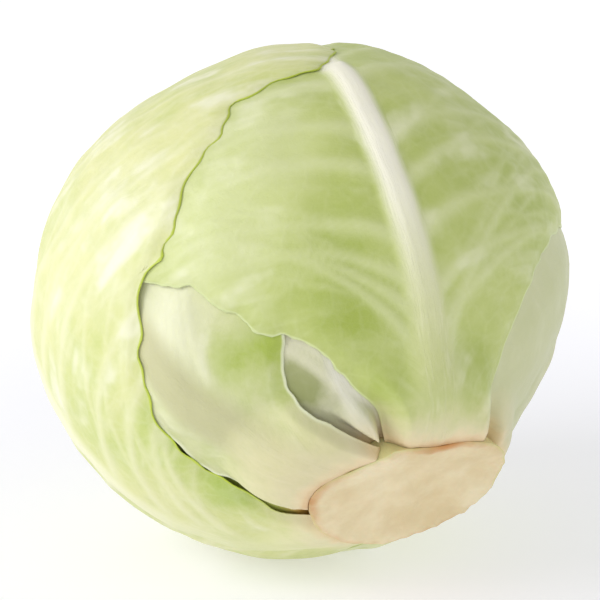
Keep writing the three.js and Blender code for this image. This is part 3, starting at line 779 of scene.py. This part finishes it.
def leafFinish(name, look):
    finish = Finish(name + "Finish")
    place = finish.add("UVMap", {"uv_map": "leafMap"}).outputs["UV"]
    rib, vein, tone = (finish.attribute(kind) for kind in ("rib", "vein", "tone"))
    edgeGap, footGap = finish.attribute("edgeGap"), finish.attribute("footGap")

    # green patches on the pale blade
    broad = finish.noise(place, *wax["broad"])
    mottled = finish.noise(place, *wax["mottled"])
    patches = broad.ramp(0.38, 0.62) * 0.45 + mottled.ramp(0.4, 0.65) * 0.2 + 0.08 + tone * 0.8
    green = (patches * look["patch"] * (1 - vein * 0.7)).clamped()
    surface = finish.mix(green, colour(look["blade"]), colour(look["green"]))

    # milky streaks that run with the veins, and milky clouds
    flow = finish.add("Attribute", {"attribute_name": "flow"}).outputs["Vector"]
    inputs = {0: flow, 1: wax["streakStretch"]}
    stretched = finish.add("VectorMath", {"operation": "MULTIPLY"}, inputs).outputs[0]
    streak = finish.noise(stretched, *wax["streak"])
    fineStreak = finish.noise(stretched, *wax["fineStreak"])
    cloud = finish.noise(place, *wax["cloud"])
    milk = streak.ramp(0.45, 0.7) * (cloud.ramp(0.42, 0.6) * 0.75 + 0.12)
    milk = milk + cloud.ramp(0.5, 0.68) * 0.25 + fineStreak.ramp(0.5, 0.85) * 0.12
    palerSpots = tone.combine("MINIMUM", tone, 0.0) * 0.35
    milk = milk * (1 - rib * 0.6) * (1 - tone.clamped() * 0.75) * look["milk"] - palerSpots
    surface = finish.mix(milk.clamped(), surface, colour(look["vein"]))

    # the fine net, the side veins and the midrib
    drift = finish.add("TexNoise", None, {"Vector": place, "Scale": 9.0, "Detail": 2.0}).outputs["Color"]
    inputs = {0: drift, 1: (0.05, 0.05, 0.05), 2: place}
    shifted = finish.add("VectorMath", {"operation": "MULTIPLY_ADD"}, inputs).outputs[0]
    net = netOf(finish, shifted, wax["netCell"], 0.16)
    fineNet = netOf(finish, shifted, wax["fineNetCell"], 0.12)
    netShare = (net * 0.7 + fineNet * 0.3) * look["net"] * (1 - rib)
    surface = finish.mix(netShare, surface, colour(look["vein"]))
    surface = finish.mix(vein * look["veins"], surface, colour(look["vein"]))
    ribLow = colour(look.get("ribLow", look["rib"]))
    ribColour = finish.mix(footGap.ramp(*wax["ribPale"]), ribLow, colour(look["rib"]))
    surface = finish.mix(rib * 0.92, surface, ribColour)

    # the creamy stalk, the leaf's own edge and the torn, dried foot
    stalk = 1 - (footGap + mottled * 8 - 4).ramp(1.0, look.get("footReach", wax["footReach"]))
    surface = finish.mix(stalk * 0.85, surface, colour(look["foot"]))
    rim = (1 - edgeGap.ramp(0.25, look.get("edgeWide", wax["edgeWide"]))) * footGap.ramp(4.0, 16.0)
    surface = finish.mix(rim * 0.9, surface, colour(look["edge"]))
    tornFoot = 1 - (footGap + mottled * 6 - 3).ramp(*wax["tornReach"])
    surface = finish.mix(tornFoot * 0.75, surface, colour(wax["tornFoot"]))
    dry = finish.attribute("dry") * (mottled * 1.2 - 0.1).clamped()
    surface = finish.mix(dry, surface, colour(wax["dryFoot"]))
    finish.links.new(surface, finish.shader.inputs["Base Color"])

    normal = finish.bump(net * 0.3 + streak * 2.5 + fineStreak * 1.2 + vein * 1.5, wax["reliefBump"], 0.8)
    normal = finish.bump(finish.noise(place, *wax["grain"]), wax["grainBump"], 0.5, normal)
    finish.links.new(normal, finish.shader.inputs["Normal"])
    roughness = mottled * wax["roughnessSpread"] + wax["roughness"]
    finish.links.new(roughness.socket, finish.shader.inputs["Roughness"])
    finish.shader.inputs["Subsurface Weight"].default_value = wax["subsurface"]
    finish.shader.inputs["Subsurface Scale"].default_value = wax["subsurfaceScale"]
    finish.shader.inputs["Subsurface Radius"].default_value = wax["subsurfaceRadius"]
    finish.shader.inputs["IOR"].default_value = wax["ior"]
    return finish.material


for leaf in leaves.values():
    prepare(leaf)
names = list(leaves)
for i, name in enumerate(names):
    buildLeaf(name, leaves[name], [leaves[n] for n in names[:i]], leafFinish(name, leafLook[name]))


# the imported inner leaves
inner = {
    "segments": (220, 220),
    # the core's darker olive colours are painted shade, so the gaps between the leaves that show it read as shadowed
    "colour": "b3bb5e",
    "shade": "87922f",
    "nearStem": "d8a35c",
    "stemReach": (2, 9),
    "crown": "e4e8b4",
    "crownPolar": (60, 90),
    "roughness": 0.55,
    "gap": 0.9,
    "blend": (0.6, 4.5),  # millimetres beside the stem over which the head comes up from below it
}


def coreRadius(d):
    depth = np.zeros(len(d))
    for leaf in leaves.values():
        depth += layer["pitch"] * cover(insideBy(leaf, d), layer["step"], layer["ramp"])
    blend = smooth(polarOf(d) - stemSidePolar(clockOf(d), 0), *inner["blend"])
    return aboveFloor(d, skinRadius(d)) - (stem["depth"] + (depth - stem["depth"]) * blend) - inner["gap"]


def innerFinish():
    finish = Finish("innerFinish")
    place = finish.add("TexCoord").outputs["Object"]
    # painted shade: darker olive patches over the core
    shaded = finish.noise(place, 60.0, 4.0).ramp(0.35, 0.65)
    surface = finish.mix(shaded, colour(inner["colour"]), colour(inner["shade"]))
    surface = finish.mix(finish.attribute("nearStem"), surface, colour(inner["nearStem"]))
    surface = finish.mix(finish.attribute("crown"), surface, colour(inner["crown"]))
    finish.links.new(surface, finish.shader.inputs["Base Color"])
    finish.shader.inputs["Roughness"].default_value = inner["roughness"]
    return finish.material


def spherePiece(name, segments, place, material, node):
    bm = bmesh.new()
    bmesh.ops.create_uvsphere(bm, u_segments=segments[0], v_segments=segments[1], radius=1.0)
    unit = np.array([vert.co[:] for vert in bm.verts])
    for vert, point in zip(bm.verts, place(unit) * mm):
        vert.co = point
    mesh = bpy.data.meshes.new(name)
    bm.to_mesh(mesh)
    bm.free()
    piece = asObject(name, mesh, material)
    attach(piece, "root")
    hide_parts(node)
    return piece


def directionsOf(piece):  # from the head's centre to each of the piece's vertices
    out = np.array([vert.co[:] for vert in piece.data.vertices]) / mm - centre
    return out / np.linalg.norm(out, axis=1)[:, None]


def corePlace(unit):
    d = unit[:, :1] * sideAxis + unit[:, 1:2] * upAxis + unit[:, 2:] * stemAxis
    return centre + d * coreRadius(d)[:, None]


innerHead = spherePiece("innerHead", inner["segments"], corePlace, innerFinish(), "inner_head")
coreOut = directionsOf(innerHead)
fromStem = polarOf(coreOut) - stemSidePolar(clockOf(coreOut), 0)
setAttribute(innerHead.data, "nearStem", 1 - smooth(fromStem, *inner["stemReach"]))
setAttribute(innerHead.data, "crown", smooth(polarOf(coreOut), *inner["crownPolar"]))
print("inner head done")


def stemPlace(unit):  # t runs over the face to 0.55, round its rim, down the side to 0.85 and over the hidden root
    t = np.arccos(np.clip(unit[:, 2], -1, 1)) / math.pi
    clock = np.degrees(np.arctan2(unit[:, 0], unit[:, 1]))
    faceShare = np.clip(t / 0.55, 0, 1)
    share = np.where(t < 0.55, 0.94 * faceShare, 0.94 + 0.06 * smooth(t, 0.55, 0.62))
    share = np.where(t > 0.85, np.clip((1 - t) / 0.15, 0, 1), share)
    sidePolar = stemSidePolar(clock, 0)
    d = directionOf(sidePolar * share, clock)
    drop = stem["dish"] * (1 - faceShare**2) + stem["rimRound"] * smooth(t, 0.52, 0.66) ** 1.5
    rough = sum(wobble(d, seed, wave) * height for seed, wave, height in stem["rough"])
    drop = drop + rough * (1 - smooth(t, 0.5, 0.62) * 0.4)
    nearRim = smooth(faceShare, 0.7, 0.95) * (1 - smooth(t, 0.56, 0.66))
    drop = drop + torn["stemHeight"] * wobble(d, 9, torn["wave"]) * nearRim
    face = (stem["faceHeight"] - drop) / (d @ stemAxis)
    bottom = coreRadius(d) + stem["rootGap"]
    fall = smooth(t, 0.64, 0.85)
    radius = face + (bottom - face) * fall
    return centre + d * radius[:, None]


def stemFinish():
    finish = Finish("stemFinish")
    place = finish.add("TexCoord").outputs["Object"]
    broad = finish.noise(place, 45.0, 4.0, 0.6)
    fine = finish.noise(place, 260.0, 4.0, 0.6)
    surface = finish.mix(broad.ramp(0.35, 0.68), colour(stem["flesh"]), colour(stem["fleshShade"]))
    brown = finish.attribute("rim") * (broad * 1.4 - 0.1).ramp(0.25, 0.75)
    surface = finish.mix(brown, surface, colour(stem["brown"]))
    surface = finish.mix(finish.attribute("skinRim") * 0.7, surface, colour(stem["skin"]))
    finish.links.new(surface, finish.shader.inputs["Base Color"])
    finish.links.new(finish.bump(fine + broad, 0.0006, 0.7), finish.shader.inputs["Normal"])
    finish.shader.inputs["Roughness"].default_value = stem["roughness"]
    finish.shader.inputs["Subsurface Weight"].default_value = stem["subsurface"]
    finish.shader.inputs["Subsurface Scale"].default_value = stem["subsurfaceScale"]
    return finish.material


stemPiece = spherePiece("cutStem", stem["segments"], stemPlace, stemFinish(), "stem")
stemOut = directionsOf(stemPiece)
nearRim = polarOf(stemOut) / stemSidePolar(clockOf(stemOut), 0)
browned = brownAt(clockOf(stemOut))
setAttribute(stemPiece.data, "rim", smooth(nearRim, 0.88, 0.99) * browned)
setAttribute(stemPiece.data, "skinRim", smooth(nearRim, 0.95, 1.0) * (1 - browned))
print("stem done")


# camera, table and light
view = {"turn": -29.0, "rise": 15.0, "lens": 135.0, "distance": 641.0, "right": -0.285, "up": -0.855}


def wayTo(turn, rise):  # a direction from the head, turned from its front and raised from the table, in degrees
    a, e = math.radians(turn), math.radians(rise)
    return Vector((math.sin(a) * math.cos(e), -math.cos(a) * math.cos(e), math.sin(e)))


def placeCamera():
    a = math.radians(view["turn"])
    back = wayTo(view["turn"], view["rise"])
    right = Vector((math.cos(a), math.sin(a), 0))
    up = back.cross(right)
    data = bpy.data.cameras.new("camera")
    data.lens = view["lens"]
    data.sensor_width = 36.0
    data.clip_start = 0.01
    camera = bpy.data.objects.new("camera", data)
    bpy.context.scene.collection.objects.link(camera)
    turn = Matrix((right, up, back)).transposed().to_4x4()
    spot = Vector(centre) + back * view["distance"] + right * view["right"] + up * view["up"]
    camera.matrix_world = Matrix.Translation(spot * mm) @ turn
    bpy.context.scene.camera = camera


light = {
    "key": 8.0, "keySize": 0.9, "keyTurn": -95.0, "keyRise": 30.0, "keyAway": 1.3,
    "skyLow": 1.05, "skyHigh": 0.5, "skyFade": 0.9,
}
table = {
    "half": 4.0, "drop": 0.0002, "colour": (0.62, 0.62, 0.67, 1), "roughness": 0.8,
    # the table glows to stay white, and glows less close to the head, as painted shade on the floor round it
    "glow": 0.6, "glowNearPaintedShade": 0.68, "paintedShadeReach": (0.1, 0.5),  # it glows less close to the head
}


def areaLight(name, turn, rise, away, size, power):
    data = bpy.data.lights.new(name, "AREA")
    data.shape = "DISK"
    data.size = size
    data.energy = power
    lamp = bpy.data.objects.new(name, data)
    bpy.context.scene.collection.objects.link(lamp)
    way = wayTo(turn, rise)
    lamp.location = Vector(centre) * mm + way * away
    lamp.rotation_euler = way.to_track_quat("Z", "Y").to_euler()


def makeTable():
    bm = bmesh.new()
    bmesh.ops.create_grid(bm, x_segments=2, y_segments=2, size=table["half"])
    bmesh.ops.translate(bm, vec=(0, 0, -table["drop"]), verts=bm.verts[:])
    mesh = bpy.data.meshes.new("table")
    bm.to_mesh(mesh)
    bm.free()
    finish = Finish("tableFinish")
    finish.shader.inputs["Base Color"].default_value = table["colour"]
    place = finish.add("TexCoord").outputs["Object"]
    away = Value(finish, finish.add("VectorMath", {"operation": "LENGTH"}, {0: place}).outputs["Value"])
    # painted shade: the table's glow is dimmer close to the head, darkening the floor there
    glow = finish.mix(away.ramp(*table["paintedShadeReach"]), (table["glowNearPaintedShade"],) * 3 + (1,), (1, 1, 1, 1))
    finish.links.new(glow, finish.shader.inputs["Emission Color"])
    finish.shader.inputs["Roughness"].default_value = table["roughness"]
    finish.shader.inputs["Emission Strength"].default_value = table["glow"]
    asObject("table", mesh, finish.material)


def makeStudio():  # white all round, and dimmer overhead
    world = bpy.data.worlds.new("studio")
    bpy.context.scene.world = world
    world.use_nodes = True
    nodes, links = world.node_tree.nodes, world.node_tree.links
    place = nodes.new("ShaderNodeTexCoord")
    split = nodes.new("ShaderNodeSeparateXYZ")
    fade = nodes.new("ShaderNodeMapRange")
    fade.inputs["From Min"].default_value = 0.0
    fade.inputs["From Max"].default_value = light["skyFade"]
    fade.inputs["To Min"].default_value = light["skyLow"]
    fade.inputs["To Max"].default_value = light["skyHigh"]
    links.new(place.outputs["Generated"], split.inputs[0])
    links.new(split.outputs["Z"], fade.inputs["Value"])
    links.new(fade.outputs[0], nodes["Background"].inputs["Strength"])
    nodes["Background"].inputs["Color"].default_value = (1, 1, 1, 1)


placeCamera()
makeTable()
areaLight("keyLight", light["keyTurn"], light["keyRise"], light["keyAway"], light["keySize"], light["key"])
makeStudio()
bpy.context.scene.view_settings.view_transform = "Standard"
print("camera, table and light done")
